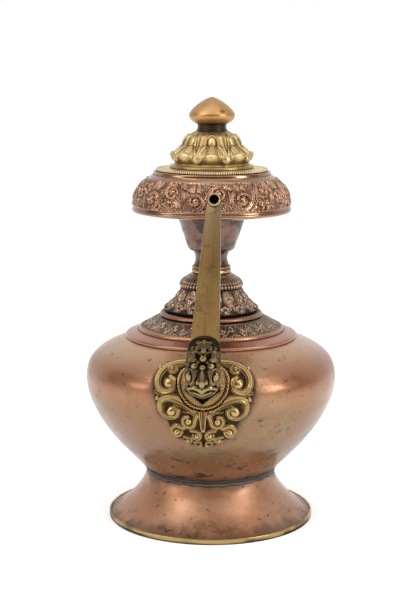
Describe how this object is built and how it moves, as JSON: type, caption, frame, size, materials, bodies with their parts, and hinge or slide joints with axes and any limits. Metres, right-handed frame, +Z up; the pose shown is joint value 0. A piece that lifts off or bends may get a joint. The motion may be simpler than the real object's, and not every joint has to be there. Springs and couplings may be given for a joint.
{
  "type": "tibetan bumpa vase",
  "caption": "Lidded copper ritual water vase with a flared foot, wide domed rim, lotus lid and tall brass spout rising from a makara mask on a scroll plate.",
  "frame": {"origin": "centre of the foot's standing face, on the vase's axis, at the floor", "axes": "+Z up along the vase's axis, -Y towards the spout, +X to the right seen from the spout's side"},
  "size_m": [0.1778, 0.2038, 0.3],
  "materials": {
    "copper": "satin aged copper",
    "dark_copper": "dark patinated copper",
    "brass": "satin aged brass",
    "bronze": "dark bronze",
    "solder": "dull grey solder"
  },
  "bodies": {
    "vase": {"foot_rim": "brass", "foot": "copper", "foot_solder": "solder", "body_bowl": "copper", "body_shoulder": "copper", "shoulder_step": "copper", "shoulder_plate": "dark_copper", "shoulder_ring": "copper", "lotus_cone": "dark_copper", "bead_collar": "dark_copper", "neck_ring": "brass", "neck": "dark_copper", "cup": "dark_copper", "rim_underplate": "copper", "rim_dome": "copper", "mouth_ring": "copper", "escutcheon": "brass", "rope_ring": "brass", "spout_boss": "brass", "spout_tube": "brass", "makara_head": "bronze", "spout_nozzle": "brass"},
    "lid": {"lid_flange": "brass", "lid_sleeve": "brass", "lid_base_ring": "brass", "lid_lotus": "brass", "lid_collar": "bronze", "lid_knob": "brass", "knob_stem": "bronze", "stem_washer": "brass"}
  },
  "joints": [
    {"name": "lid_lift", "type": "slide", "parent": "vase", "child": "lid", "axis": [0, 0, 1], "range_m": [0, 0.06]}
  ]
}
